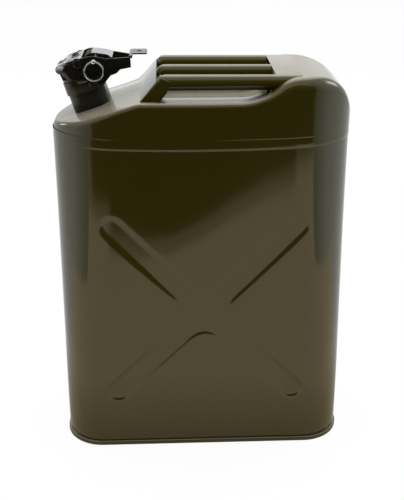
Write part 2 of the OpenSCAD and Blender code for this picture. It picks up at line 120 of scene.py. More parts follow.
print("a grid of 2 rows and 3 columns has", len(grid_quads(2, 3, False, False, 0)), "quads")

# %% [markdown]
# Shader maths reads best as plain Python. This small class wraps a socket, so that `1 - mask` or
# `noise * 0.2 + 0.5` adds the Math nodes for us.

# %% Write shader maths as expressions
class Wire:
    """A socket in a node tree, with arithmetic."""

    def __init__(self, tree, socket):
        self.tree = tree
        self.socket = socket

    def math(self, operation, other, reverse=False):
        """A Math node between this wire and a number or another wire."""
        first, second = (other, self) if reverse else (self, other)
        return node(self.tree, "ShaderNodeMath", {"operation": operation}, {0: first, 1: second})

    def __add__(self, other):
        return self.math("ADD", other)

    def __radd__(self, other):
        return self.math("ADD", other, True)

    def __sub__(self, other):
        return self.math("SUBTRACT", other)

    def __rsub__(self, other):
        return self.math("SUBTRACT", other, True)

    def __mul__(self, other):
        return self.math("MULTIPLY", other)

    def __rmul__(self, other):
        return self.math("MULTIPLY", other, True)

    def __pow__(self, other):
        return self.math("POWER", other)

    def __rpow__(self, other):
        return self.math("POWER", other, True)


print("a wire can do", [name for name in vars(Wire) if name != "__init__" and name.endswith("__")])

# %% [markdown]
# Any other node comes from one function. Its settings go in first, because a setting can change which
# sockets a node has, and then each socket gets a value or a link. A few short names for the nodes that
# every paint needs keep the recipes below readable.

# %% Make nodes and materials
def node(tree, kind, settings=None, inputs=None, output=0):
    """Adds a node, sets its settings first, then links or sets its sockets, and wraps one output."""
    made = tree.nodes.new(kind)
    for key, value in (settings or {}).items():
        setattr(made, key, value)
    for key, value in (inputs or {}).items():
        socket = made.inputs[key]
        if isinstance(value, Wire):
            tree.links.new(value.socket, socket)
        else:
            socket.default_value = value
    return Wire(tree, made.outputs[output]) if made.outputs else None


def mix_colour(tree, factor, first, second):
    """Blends two colours, each a wire or red, green and blue, by a factor wire."""
    pair = [c if isinstance(c, Wire) else (*c, 1) for c in (first, second)]
    sockets = {0: factor, 6: pair[0], 7: pair[1]}
    return node(tree, "ShaderNodeMix", {"data_type": "RGBA"}, sockets, output=2)


def noise(tree, place, scale, detail=2.0):
    """A cloudy pattern from 0 to 1."""
    return node(tree, "ShaderNodeTexNoise", None, {"Vector": place, "Scale": scale, "Detail": detail})


def ranged(tree, value, low, high, first, last, ease="SMOOTHSTEP"):
    """Goes from a first to a last number while a value goes from low to high, and is held beyond them."""
    return node(tree, "ShaderNodeMapRange", {"interpolation_type": ease},
                {0: value, 1: low, 2: high, 3: first, 4: last})


def axis_of(tree, vector, axis):
    """One of a vector's three numbers."""
    return node(tree, "ShaderNodeSeparateXYZ", None, {0: vector}, output=axis)


def new_material(name):
    """An empty node material, its tree, and the place on the piece that its patterns read."""
    material = bpy.data.materials.new(name)
    material.use_nodes = True
    tree = material.node_tree
    tree.nodes.clear()
    return material, tree, node(tree, "ShaderNodeTexCoord", output="Object")


def set_surface(tree, shader, kind="ShaderNodeOutputMaterial"):
    """Ends a tree: the shader becomes its surface."""
    node(tree, kind, None, {"Surface": shader})


print("node helpers", [helper.__name__ for helper in (mix_colour, noise, ranged, axis_of)])

# %% [markdown]
# Enamel on pressed steel is a dark colour under a hard gloss. What makes it look sprayed and not moulded
# is small: a slow change of depth in the colour, a faint orange peel in the gloss, and dust. The upward part
# of the normal drives a pale veil, broken up by noise: partly dust, which settles on what faces up, and
# partly a painted sheen of the light that upward faces catch from above. The cap's hinge is where hands
# rub, so a paint can also be thin and grey there, above the pin; that paler top is partly a painted
# highlight.

# %% Mix the olive enamel
DUST_SHEEN_FROM, DUST_SHEEN_FULL = 0.8, 0.985
BUMP_DEPTH = 0.0002
HINGE_PALE_REACH, HINGE_PALE_FULL, HINGE_PALE_HALF, HINGE_PALE_LOW = 0.010, 0.004, 0.002, 0.12


def enamel(name, deep, thin, veil, roughness, peel, hinge_wear_and_light=None):
    """Gloss enamel: two close colours by slow noise, a pale veil on upward faces, orange-peel bump. The veil
    is partly a dusty film and partly a painted sheen of the light from above. Where a paler hinge colour is
    given, the upper half of the hinge takes it: paint worn thin there, and partly a painted highlight."""
    material, tree, place = new_material(name)
    slow = noise(tree, place, 9.0, 3.0)
    fine = noise(tree, place, 420.0)
    fleck = noise(tree, place, 75.0, 5.0)
    upward = axis_of(tree, node(tree, "ShaderNodeNewGeometry", output="Normal"), "Z")
    # Upward faces get a pale veil: partly dust, partly a painted sheen of the light from above.
    up_facing = ranged(tree, upward, DUST_SHEEN_FROM, DUST_SHEEN_FULL, 0.0, 1.0)
    dust_and_sheen = up_facing * (fleck * 0.5 + 0.72)
    colour = mix_colour(tree, slow, deep, thin)
    colour = mix_colour(tree, dust_and_sheen, colour, veil)
    # Near the hinge the paint turns paler towards the top: worn paint, and partly a painted highlight on its
    # upper side.
    if hinge_wear_and_light:
        near = ranged(tree, axis_of(tree, place, "X"), HINGE_X + HINGE_PALE_REACH, HINGE_X + HINGE_PALE_FULL, 0.0, 1.0)
        high = ranged(tree, axis_of(tree, place, "Z"), HINGE_Z - HINGE_PALE_HALF, HINGE_Z + HINGE_PALE_HALF, HINGE_PALE_LOW, 1.0)
        colour = mix_colour(tree, near * high * (1 - up_facing), colour, hinge_wear_and_light)
    gloss = slow * 0.04 + dust_and_sheen * 0.06 + (roughness - 0.02)
    bump = node(tree, "ShaderNodeBump", None, {"Strength": peel, "Distance": BUMP_DEPTH, "Height": fine})
    set_surface(tree, node(tree, "ShaderNodeBsdfPrincipled", None,
                           {"Base Color": colour, "Roughness": gloss, "Normal": bump, "IOR": 1.5}))
    return material


# The olive's beige veil lightens upward faces: partly dust, partly a painted sheen of overhead light.
olive_enamel = enamel("olive_enamel", (0.036, 0.028, 0.0024), (0.044, 0.0345, 0.0032),
                      (0.205, 0.184, 0.135), 0.08, 0.02)
print("mixed", olive_enamel.name)

# %% [markdown]
# The closure is black, and each of its blacks has had its own wear: the neck is satin, the side plates
# still shine, the inside of the strap is flat, and the strap's hump, its tab and the cap's bridge are paler
# on top, partly from wear and partly as a painted sheen of the light their upper faces catch. Each is the
# same recipe with other numbers: the colour where the paint is deep and where it is thin, the colour of
# the dust and painted sheen, the roughness and the strength of the orange peel.

# %% Mix the blacks
BLACK_DEEP, BLACK_THIN, BLACK_DUST_SHEEN = (0.010, 0.0095, 0.007), (0.014, 0.013, 0.009), (0.02, 0.02, 0.018)
BLACK_PEEL = 0.015

black_enamel = enamel("black_enamel", BLACK_DEEP, BLACK_THIN, BLACK_DUST_SHEEN, 0.1, BLACK_PEEL)
black_satin = enamel("black_satin", (0.015, 0.0135, 0.008), (0.02, 0.018, 0.011),
                     BLACK_DUST_SHEEN, 0.34, BLACK_PEEL)
flat_black = enamel("flat_black", BLACK_DEEP, BLACK_THIN, BLACK_DUST_SHEEN, 0.75, BLACK_PEEL)
# Hump, tab and cap blacks have paler tops: partly wear and dust, partly a painted sheen of light from above.
hump_black = enamel("hump_black", (0.03, 0.03, 0.028), (0.06, 0.06, 0.056),
                    (0.24, 0.24, 0.24), 0.3, BLACK_PEEL)
strap_black = enamel("strap_black", (0.02, 0.02, 0.018), (0.05, 0.05, 0.046),
                     (0.13, 0.13, 0.125), 0.34, BLACK_PEEL)
worn_black = enamel("worn_black", (0.012, 0.0115, 0.009), (0.05, 0.05, 0.046),
                    (0.30, 0.30, 0.29), 0.4, BLACK_PEEL, hinge_wear_and_light=(0.6, 0.6, 0.58))
print("mixed", [m.name for m in bpy.data.materials if "black" in m.name])

# %% [markdown]
# The lock pin, its ring and the tube inside are plated, and the seal under the cap is moulded rubber. One
# plain colour would make them look like plastic close up. Bright metal needs a fine change of gloss and a
# few dull spots, and rubber is dull, nearly black and pebbled.

# %% Mix the plating and the rubber
def bright_plating(name, tint, roughness):
    """Plated wire and pins: metal with a fine brushed change of gloss and small dull spots."""
    material, tree, place = new_material(name)
    grain = noise(tree, place, 900.0, 3.0)
    spots = noise(tree, place, 240.0)
    shade = mix_colour(tree, spots, tint, tuple(0.82 * c for c in tint))
    gloss = grain * 0.12 + (roughness - 0.06)
    set_surface(tree, node(tree, "ShaderNodeBsdfPrincipled", None,
                           {"Base Color": shade, "Roughness": gloss, "Metallic": 1.0}))
    return material


def seal_rubber(name, tone):
    """Moulded rubber: nearly black, dull, with a fine pebbled bump."""
    material, tree, place = new_material(name)
    pebble = noise(tree, place, 700.0, 3.0)
    shade = mix_colour(tree, pebble, (tone,) * 3, (1.6 * tone,) * 3)
    bump = node(tree, "ShaderNodeBump", None, {"Strength": 0.3, "Distance": BUMP_DEPTH, "Height": pebble})
    set_surface(tree, node(tree, "ShaderNodeBsdfPrincipled", None,
                           {"Base Color": shade, "Roughness": pebble * 0.2 + 0.55, "Normal": bump}))
    return material


bright_steel = bright_plating("bright_steel", (0.80, 0.80, 0.79), 0.2)
gasket_rubber = seal_rubber("gasket_rubber", 0.02)
print("mixed", bright_steel.name, gasket_rubber.name)

# %% [markdown]
# The camera comes next. It was solved from the corners of the can: eye height, distance, turn and tilt,
# and a lens long enough that the walls barely converge.

# %% Place the camera
EYE = Vector((-0.04142, -1.03700, 0.68475))
YAW, PITCH, ROLL = (math.radians(a) for a in (2.34, 23.597, -0.007))
LENS, SENSOR_W = 64.90, 36


def aim(yaw, pitch, roll):
    """Camera axes from turn, tilt and roll: right, up and back as the columns of a turn matrix."""
    ahead = Vector((math.sin(yaw) * math.cos(pitch), math.cos(yaw) * math.cos(pitch), -math.sin(pitch)))
    right = Vector((math.cos(yaw), -math.sin(yaw), 0))
    up = right.cross(ahead)
    right, up = (right * math.cos(roll) + up * math.sin(roll), up * math.cos(roll) - right * math.sin(roll))
    return Matrix((right, up, -ahead)).transposed()


lens = bpy.data.cameras.new("camera")
lens.lens = LENS
lens.sensor_width = SENSOR_W
camera = bpy.data.objects.new("camera", lens)
camera.matrix_world = Matrix.Translation(EYE) @ aim(YAW, PITCH, ROLL).to_4x4()
bpy.context.scene.collection.objects.link(camera)
bpy.context.scene.camera = camera
print("camera at", EYE)

# %% [markdown]
# Gloss paint is mostly what it mirrors. A vertical panel seen from above mirrors the floor in front of it,
# and past the floor's edge it mirrors the unlit end of the room. So the surround is white behind and at the
# sides, and dark in front. The camera sees it as plain white.

# %% Surround the can
DARK_END, WHITE_FROM = -0.62, -0.46


def studio_world():
    """White to the camera. To the paint it is a white dome that goes dark towards the front."""
    world = bpy.data.worlds.new("studio")
    world.use_nodes = True
    bpy.context.scene.world = world
    tree = world.node_tree
    tree.nodes.clear()
    way = node(tree, "ShaderNodeTexCoord", output="Generated")
    lit = ranged(tree, axis_of(tree, way, "Y"), DARK_END, WHITE_FROM, 0.0, 1.0)
    shade = mix_colour(tree, lit, (0.014, 0.0145, 0.015), (0.917, 0.941, 0.965))
    dome = node(tree, "ShaderNodeBackground", None, {"Color": shade, "Strength": 1.0})
    white = node(tree, "ShaderNodeBackground", None, {"Color": (1, 1, 1, 1), "Strength": 1.0})
    seen = node(tree, "ShaderNodeLightPath", output="Is Camera Ray")
    both = node(tree, "ShaderNodeMixShader", None, {0: seen, 1: dome, 2: white})
    set_surface(tree, both, "ShaderNodeOutputWorld")


studio_world()
bpy.context.scene.view_settings.view_transform = "Standard"
print("world", bpy.context.scene.world.name)

# %% [markdown]
# The floor is a pale sheet. Its front edge has a bay in it, so the dark part of the can's front reaches
# lower in the middle, and a strip along that edge is dimmer, so that the dark begins in two steps. Close to
# the can the sheet lies in its shadow, and what the paint mirrors there is darker.

# %% Lay the floor
FLOOR_FRONT = [
    (-3.0, -0.5), (-1.2, -0.62), (-0.95, -0.75), (-0.75, -0.87), (-0.57, -0.95), (-0.437, -0.946),
    (-0.302, -0.839), (-0.167, -0.768), (-0.077, -0.772), (0.016, -0.838), (0.158, -0.962), (0.339, -1.08),
    (0.541, -1.148), (0.66, -1.19), (0.9, -1.05), (1.2, -0.8), (3.0, -0.6),
]
FLOOR_BACK, FLOOR_HW, EDGE_STRIP = 6.0, 3.0, 0.09
FLOOR_GLOW, EDGE_LEVEL, SEEN_WHITE = 1.34, 0.5, 0.94
SHADOW_HW, SHADOW_FROM, SHADOW_TO, SHADOW_LEVEL = 0.12, 0.085, 0.253, 0.47
WARM_TO, COOL_FROM = -0.08, 0.1


def floor_paint(name, level):
    """Floor paint. Seen directly it is white with a faint shadow. Mirrored it is warm in front and cool
    behind, and dimmer close to a line under the can: the distance to that line sets the shade."""
    material, tree, place = new_material(name)
    grain = noise(tree, place, 60.0)
    pale = mix_colour(tree, grain, (0.86, 0.86, 0.86), (0.89, 0.89, 0.89))
    matt = node(tree, "ShaderNodeBsdfDiffuse", None, {"Color": pale})
    white = node(tree, "ShaderNodeEmission", None, {"Color": (1, 1, 1, 1), "Strength": 1.0})
    depth = axis_of(tree, place, "Y")
    aside = axis_of(tree, place, "X").math("ABSOLUTE", 0.0) - SHADOW_HW
    aside = aside.math("MAXIMUM", 0.0)
    away = (aside * aside + depth * depth) ** 0.5
    clear = ranged(tree, away, SHADOW_FROM, SHADOW_TO, SHADOW_LEVEL, 1.0, "LINEAR")
    behind = ranged(tree, depth, WARM_TO, COOL_FROM, 0.0, 1.0, "LINEAR")
    tone = mix_colour(tree, behind, (1.0, 0.85, 0.6), (0.75, 0.77, 0.78))
    shade = mix_colour(tree, clear, (0, 0, 0), tone)
    warm = node(tree, "ShaderNodeEmission", None, {"Color": shade, "Strength": FLOOR_GLOW * level})
    seen = node(tree, "ShaderNodeLightPath", output="Is Camera Ray")
    mirrored = node(tree, "ShaderNodeLightPath", output="Is Glossy Ray")
    direct = node(tree, "ShaderNodeMixShader", None, {0: seen * SEEN_WHITE, 1: matt, 2: white})
    set_surface(tree, node(tree, "ShaderNodeMixShader", None, {0: mirrored, 1: direct, 2: warm}))
    return material


def stage_mesh(name, corners, faces, *paints):
    """A thing of the studio: a plain mesh that belongs to no body."""
    mesh = bpy.data.meshes.new(name)
    mesh.from_pydata(corners, [], faces)
    for paint in paints:
        mesh.materials.append(paint)
    thing = bpy.data.objects.new(name, mesh)
    bpy.context.scene.collection.objects.link(thing)
    return thing


def pale_floor():
    """A flat sheet under the can, with a dimmer strip along its front edge."""
    edge = [(x, y, 0) for x, y in FLOOR_FRONT]
    inner = [(x, y + EDGE_STRIP, 0) for x, y in FLOOR_FRONT]
    back = [(FLOOR_HW, FLOOR_BACK, 0), (-FLOOR_HW, FLOOR_BACK, 0)]
    count = len(edge)
    strip = [(i, i + 1, count + i + 1, count + i) for i in range(count - 1)]
    middle = [tuple(range(count, 2 * count + 2))]
    paints = [floor_paint("pale_floor", 1.0), floor_paint("floor_edge", EDGE_LEVEL)]
    floor = stage_mesh("floor", edge + inner + back, strip + middle, *paints)
    floor.data.polygons.foreach_set("material_index", [1] * len(strip) + [0])


pale_floor()
print("floor with", len(FLOOR_FRONT), "points along its front edge")

# %% [markdown]
# Gloss is lit with what it mirrors more than with lamps that shine on it. Two tall white cards beside the
# can draw the cool bands down its corners, and fade towards the front so that the bands end softly. Two
# small bright panels are mirrored only in the rounded corners of the top, as glints. One large lamp overhead
# lights what faces up. It is hidden from the paint, which has enough to mirror.

# %% Set the cards and lamps
CARD_DIM, CARD_BRIGHT, CARD_FADE = (0.42, 0.45, 0.36), (0.95, 1.0, 1.0), 0.3
GLINT_TINT, GLINT_RIM, GLINT_CORE = (0.95, 0.98, 1), 0.97, 0.2


def glow(tree, shade, level):
    """Ends a tree as a light of a colour."""
    set_surface(tree, node(tree, "ShaderNodeEmission", None, {"Color": shade, "Strength": level}))


def turned_to(place, target, axis):
    """Matrix that puts a thing at a place and turns one of its axes to a target."""
    turn = (Vector(target) - Vector(place)).to_track_quat(axis, "Y").to_matrix().to_4x4()
    return Matrix.Translation(place) @ turn


def side_card(name, front, back, height):
    """A tall white card beside the can, dimmer towards its front edge. Only the paint sees it."""
    material, tree, place = new_material(name)
    fade = ranged(tree, axis_of(tree, place, "Y"), front[1], front[1] + CARD_FADE, 0.0, 1.0, "LINEAR")
    glow(tree, mix_colour(tree, fade, CARD_DIM, CARD_BRIGHT), 1.0)
    corners = [(*front, 0), (*back, 0), (*back, height), (*front, height)]
    card = stage_mesh(name, corners, [(0, 1, 2, 3)], material)
    card.visible_camera = False


def side_lamp(name, place, target, size, level):
    """A small bright panel beside the can that fades from its middle to its rim. Only the paint sees it."""
    material, tree, spot = new_material(name)
    half = size / 2
    away = node(tree, "ShaderNodeVectorMath", {"operation": "LENGTH"}, {0: spot}, output="Value")
    fade = ranged(tree, away, GLINT_CORE * half, half, 1.0, 0.0)
    glow(tree, mix_colour(tree, fade, (GLINT_RIM / level,) * 3, GLINT_TINT), level)
    corners = [(-half, -half, 0), (half, -half, 0), (half, half, 0), (-half, half, 0)]
    lamp = stage_mesh(name, corners, [(0, 1, 2, 3)], material)
    lamp.matrix_world = turned_to(place, target, "Z")
    lamp.visible_camera = False


def softbox(name, place, target, size, power):
    """A large rectangular lamp that looks at a point."""
    lamp = bpy.data.lights.new(name, "AREA")
    lamp.shape = "RECTANGLE"
    lamp.size, lamp.size_y = size
    lamp.energy = power
    holder = bpy.data.objects.new(name, lamp)
    holder.matrix_world = turned_to(place, target, "-Z")
    holder.visible_camera = False
    holder.visible_glossy = False
    bpy.context.scene.collection.objects.link(holder)


side_lamp("left_lamp", (-0.92, 0.46, 0.70), (-0.16, -0.05, 0.41), 0.36, 7.0)
side_lamp("right_lamp", (0.88, 0.36, 0.82), (0.15, -0.06, 0.45), 0.42, 5.5)
side_card("left_card", (-0.70, -0.42), (-1.3, 1.0), 1.5)
side_card("right_card", (0.75, -0.49), (1.3, 1.0), 1.5)
softbox("top_box", (0, 0.15, 2.3), (0, 0, 0.3), (1.6, 1.2), 45)
print("studio ready")

# %% [markdown]
# The can's plan is a rounded rectangle at the bottom. Towards the top its corners grow rounder and its
# front and back swell between them, as thin pressed sheet does. One function gives the outline as points
# round the can, so that the wall and the drawn top share it. Drawing the depth in towards the ends gives
# the swell.

# %% Outline of the can
BODY_W, BODY_D = 345.0, 165.0
CORNER_LOW, CORNER_HIGH = 45.8, 71.5
RIM_H = 5.0
SKIRT_Z, LAP_H, SKIRT_OUT = 385.6, 14.0, 0.5
SWELL_FROM, SWELL, SPREAD = 20, 0.21, 1.0


def smooth(edge0, edge1, value):
    """Smooth step from 0 to 1 between two edges."""
    t = np.clip((value - edge0) / (edge1 - edge0), 0, 1)
    return t * t * (3 - 2 * t)


def plan_ring(count, grow=0.0, corner=CORNER_LOW):
    """Points round the rounded rectangle, evenly spaced by length, starting at the left end and
    running along the front first. Straight sides and quarter arcs are joined by their lengths."""
    a, b, r = BODY_W / 2 + grow, BODY_D / 2 + grow, corner + grow
    side_x, side_y, turn = 2 * (a - r), 2 * (b - r), math.pi * r / 2
    knots = np.cumsum([0, side_y / 2, turn, side_x, turn, side_y, turn, side_x, turn, side_y / 2])
    along = (np.arange(count) + 0.5) / count * knots[-1]
    starts = [(-a, 0), None, (r - a, -b), None, (a, r - b), None, (a - r, b), None, (-a, b - r)]
    ways = [(0, -1), None, (1, 0), None, (0, 1), None, (-1, 0), None, (0, -1)]
    centres = {1: (r - a, r - b, 180), 3: (a - r, r - b, 270), 5: (a - r, b - r, 0), 7: (r - a, b - r, 90)}
    leg = np.clip(np.searchsorted(knots, along, side="right") - 1, 0, 8)
    rest = along - knots[leg]
    points = np.zeros((count, 2))
    for i in range(9):
        here = leg == i
        if i in centres:
            cx, cy, first = centres[i]
            angle = np.radians(first) + rest[here] / r
            points[here] = np.stack([cx + r * np.cos(angle), cy + r * np.sin(angle)], axis=1)
        else:
            points[here] = np.array(starts[i]) + rest[here, None] * np.array(ways[i])
    return points


def outline(count, z, grow=0.0):
    """Outline at a height. Towards the top the corners grow rounder, the depth is drawn in by a share
    times the square of the place along the width, and the width spreads a little."""
    share = float(smooth(SWELL_FROM, SKIRT_Z, z))
    ring = plan_ring(count, grow, CORNER_LOW + (CORNER_HIGH - CORNER_LOW) * share)
    x = ring[:, 0] * (1 + share * SPREAD / (BODY_W / 2))
    y = ring[:, 1] * (1 - share * SWELL * (ring[:, 0] / (BODY_W / 2)) ** 2)
    return np.stack([x, y], axis=1)


print("outline length", round(float(np.linalg.norm(np.diff(plan_ring(400), axis=0), axis=1).sum())), "mm")

# %% [markdown]
# The lower body is one wrapped sheet. Its grid runs round the outline and up the wall, and the crossed
# grooves are pushed in by a depth that depends on the distance to the two arms. A smooth minimum of the
# two distances rounds the four notches in the middle, just as a press tool would. The lower arms are
# pressed deeper.

# %% Wrap the lower body
GROOVE_X, GROOVE_Z, GROOVE_END = 1.5, 186.0, 107.0
GROOVE_W, GROOVE_DEPTH, GROOVE_RUN = 30.0, 0.95, 5.2
DEEPER, DEEPER_FROM, DEEPER_FULL = 0.6, 190, 95
NOTCH_BLEND = 28.0
TUCK, TUCK_H = 1.0, 9
HIDDEN_LOW, HIDDEN_TOP = 1.5, 1
WALL_COLUMNS, WALL_ROWS = 480, 200


def arm_distance(x, z, end_x, end_z):
    """Distance from points to the segment between an end and its opposite through the centre."""
    length2 = end_x ** 2 + end_z ** 2
    t = np.clip((x * end_x + z * end_z) / length2, -1, 1)
    return np.hypot(x - t * end_x, z - t * end_z)


def groove_depth(x, z):
    """Depth of the cross: smooth minimum of the two arm distances, then a smooth fall over the side run."""
    one = arm_distance(x - GROOVE_X, z - GROOVE_Z, GROOVE_END, GROOVE_END)
    two = arm_distance(x - GROOVE_X, z - GROOVE_Z, GROOVE_END, -GROOVE_END)
    blend = np.maximum(NOTCH_BLEND - np.abs(one - two), 0) / NOTCH_BLEND
    near = np.minimum(one, two) - blend ** 2 * NOTCH_BLEND / 4
    deeper = 1 + DEEPER * smooth(DEEPER_FROM, DEEPER_FULL, z)
    return GROOVE_DEPTH * deeper * smooth(GROOVE_W / 2, GROOVE_W / 2 - GROOVE_RUN, near)


def body_wall():
    """Grid of the wall: the outline at each height, drawn in above the rim, with the grooves pushed in on
    the front and the back. Its ends are hidden in the rim and under the lap."""
    z = np.linspace(RIM_H - HIDDEN_LOW, SKIRT_Z + LAP_H - HIDDEN_TOP, WALL_ROWS)
    flat = np.array([outline(WALL_COLUMNS, height) for height in z])
    tuck = TUCK * (1 - smooth(RIM_H, RIM_H + TUCK_H, z))
    flat = flat * (1 - tuck[:, None, None] / np.array([BODY_W / 2, BODY_D / 2]))
    x, y = flat[..., 0], flat[..., 1]
    level = np.broadcast_to(z[:, None], x.shape)
    y = y - np.sign(y) * groove_depth(x, level) * smooth(40, 60, np.abs(y))
    return np.stack([x, y, level], axis=-1)


wall = Sheet()
wall.add_grid(body_wall(), close_cols=True)
wall.build("wrapped_body", olive_enamel, "can", "lower_body")

# %% [markdown]
# The bottom is rolled over the wall's edge into a bead, the double seam of any tin can. Its section is a
# short list of offsets from the outline, carried round the can, and the pan inside closes the bottom.

# %% Roll the bottom rim
RIM_SECTION = np.array([
    (-1.2, 5.4), (0.2, 5.6), (1.3, 5.2), (1.9, 4.4), (2.0, 3.2), (2.0, 1.6), (1.7, 0.6), (1.0, 0.1),
    (0.0, 0.0), (-1.2, 0.0), (-2.0, 0.4), (-2.3, 1.2), (-2.4, 3.0), (-3.2, 4.0),
])
RIM_COLUMNS = 240
PAN_Z, PAN_STEPS = 4.0, (0.7, 0.4, 0.02)


def rolled_rim():
    """Grid of the rim: each point of the section is an outline grown by its offset, at its height. The pan
    is the last outline scaled down to the middle."""
    rings = [plan_ring(RIM_COLUMNS, grow) for grow in RIM_SECTION[:, 0]]
    heights = np.minimum(RIM_SECTION[:, 1], RIM_H)
    lines = [np.column_stack([ring, np.full(RIM_COLUMNS, z)]) for ring, z in zip(rings, heights)]
    pan = [np.column_stack([rings[-1] * share, np.full(RIM_COLUMNS, PAN_Z)]) for share in PAN_STEPS]
    return np.array(lines + pan)


rim = Sheet()
rim.add_grid(rolled_rim(), close_cols=True)
rim.build("rolled_bottom", olive_enamel, "can", "bottom_end")

# %% [markdown]
# The top is drawn from one sheet. Seen from the front its roof line is a shoulder that climbs to a flat
# lip, an S-shaped ramp and a raised end that rolls over on the right. As straight lines and arcs that touch
# smoothly it is one formula of the place along the width. Two small corrections go with it: a shallow dish
# under the handle, and a shoulder that falls towards its edges.

# %% Roof line of the top
LEAN = math.radians(18.3)
LIP_Z, RAISED_Z = 438.3, 463.0
SHOULDER_X, SHOULDER_R = -71.0, 20.0
RAMP_X, RAMP_END_X, RAMP_LOW = 41.0, 108.0, 0.63
RIGHT_R = 54.0
DISH, DISH_EDGE, DISH_RUN = 3.6, 77.5, 42
FRONT_FALL, REAR_FALL, LEFT_FALL = 1.6, 4.6, 0.2


def arc_height(x, middle, radius):
    """Height of a circle over its middle line, and zero beyond its ends."""
    return np.sqrt(np.maximum(radius ** 2 - (x - middle) ** 2, 0))


def roof_line(x):
    """Height of the roof along the width: shoulder slope, bend, lip, two ramp arcs, raised end, end arc."""
    run, rise = RAMP_END_X - RAMP_X, RAISED_Z - LIP_Z
    both_r = (run ** 2 + rise ** 2) / (2 * rise)
    low_r, high_r = RAMP_LOW * both_r, (1 - RAMP_LOW) * both_r
    middle = RAMP_X + RAMP_LOW * run
    bend_x = SHOULDER_X + SHOULDER_R * math.tan(LEAN / 2)
    bend_end = bend_x - SHOULDER_R * math.sin(LEAN)
    right = BODY_W / 2 + SKIRT_OUT - RIGHT_R
    slope = LIP_Z + (x - SHOULDER_X) * math.tan(LEAN)
    bend = LIP_Z - SHOULDER_R + arc_height(x, bend_x, SHOULDER_R)
    lip, raised = np.full_like(x, LIP_Z), np.full_like(x, RAISED_Z)
    low = LIP_Z + low_r - arc_height(x, RAMP_X, low_r)
    high = RAISED_Z - high_r + arc_height(x, RAMP_END_X, high_r)
    end = RAISED_Z - RIGHT_R + arc_height(x, right, RIGHT_R)
    steps = [x < bend_end, x < bend_x, x < RAMP_X, x < middle, x < RAMP_END_X, x < right]
    return np.select(steps, [slope, bend, lip, low, high, raised], end)


def dish(x, y):
    """Shallow hollow of the recess: an even slope from its front and back edges to its flat middle."""
    across = np.clip((DISH_EDGE - np.abs(y)) / DISH_RUN, 0, 1)
    return DISH * across * smooth(-66, -40, x) * (1 - smooth(64, 84, x))


def crown(x, y):
    """Fall of the shoulder towards its front edge, its rear edge and the left end."""
    front = FRONT_FALL * smooth(28, 62, -y) * smooth(-90, -150, x)
    rear = REAR_FALL * smooth(25, 72, y) * smooth(-150, -88, x) * (1 - smooth(-76, -60, x))
    return front + rear + LEFT_FALL * smooth(-152, -172, x)


print("roof at shoulder, lip and raised end", roof_line(np.array([-160.0, 0.0, 115.0])).round(1), "mm")

# %% [markdown]
# The roof line is carried across the depth, from every point of the outline to the middle line, and the
# edge to the wall is rounded by lowering the roof close to the outline. Below it the sheet laps over the
# body: a few close rows give the lap its thin lines of light. At the left end the wall leans in, as a
# deep-drawn corner does.

# %% Draw the top shell
TOP_COLUMNS, SPINE_HW = 480, 88
EDGE_R, EDGE_RAISED, EDGE_LEFT = 6, 7, 1.5
LAP_RISE = np.array([0, 1.2, 2.4, 3.0, 7.6, 12.0, 12.4, 13.2, 13.6, LAP_H])
LAP_INSET = np.array([0.5, 0.3, 0.05, 0.0, 0.1, 0.2, 0.2, 0.08, 0.08, 0.1])
LAP_FOLD = 3
DRAFT, DRAFT_H = 2.2, 20
WALL_STEPS, ROOF_STEPS = np.linspace(0.08, 1.0, 12), np.linspace(0, 1, 40)[1:]


def drawn_top():
    """Grid of the top shell: lap, wall, rounded edge and roof, from the lap to the middle line. The edge
    drops as a quarter circle of its radius does."""
    ring = outline(TOP_COLUMNS, SKIRT_Z, SKIRT_OUT)
    far = ring[:, 0]
    inward = np.column_stack([np.clip(far, -SPINE_HW, SPINE_HW), np.zeros(TOP_COLUMNS)]) - ring
    reach = np.linalg.norm(inward, axis=1)
    inward = inward / reach[:, None]
    edge_r = EDGE_R + EDGE_RAISED * smooth(60, 100, far) * (1 - smooth(140, 165, far))
    edge_r = edge_r - EDGE_LEFT * smooth(-140, -165, far)
    draft, plain = DRAFT * smooth(-110, -165, far), smooth(-110, -150, far)
    lines = []
    for rise, inset in zip(LAP_RISE, LAP_INSET):
        drawn = inset * (1 - plain * (rise > LAP_FOLD)) + draft * rise / DRAFT_H
        lines.append(np.column_stack([ring + inward * drawn[:, None], np.full(TOP_COLUMNS, SKIRT_Z + rise)]))
    foot, lap_z = lines[-1][:, :2], SKIRT_Z + LAP_H
    top_z = np.maximum(roof_line(foot[:, 0]) - crown(foot[:, 0], foot[:, 1]) - edge_r, lap_z)
    for t in WALL_STEPS:
        lines.append(np.column_stack([foot, lap_z + (top_z - lap_z) * t]))
    for t in ROOF_STEPS:
        d = (reach - LAP_INSET[-1]) * (1 - np.cos(t * math.pi / 2))
        p = foot + inward * d[:, None]
        drop = edge_r - np.sqrt(np.maximum(edge_r ** 2 - np.maximum(edge_r - d, 0) ** 2, 0))
        z = roof_line(p[:, 0]) - drop - dish(p[:, 0], p[:, 1]) - crown(p[:, 0], p[:, 1])
        lines.append(np.column_stack([p, np.maximum(z, lap_z)]))
    return np.array(lines)


top = Sheet()
top.add_grid(drawn_top(), close_cols=True)
top.build("drawn_top", olive_enamel, "can", "top_shell")

# %% [markdown]
# The handle is one pressing: a sloped leg as wide as the handle, three bars with turned-down edges and a
# land on the raised end. Each is the same kind of thing, a channel section carried along a line, so one
# sweep makes them all: the section is given across the line, and the bend is a short arc.

# %% Sections and sweeps
def arc(centre, radius, first, last, steps):
    """Points on a circle from one angle to another, in degrees."""
    angle = np.radians(np.linspace(first, last, steps + 1))
    return np.array(centre) + radius * np.stack([np.cos(angle), np.sin(angle)], axis=1)


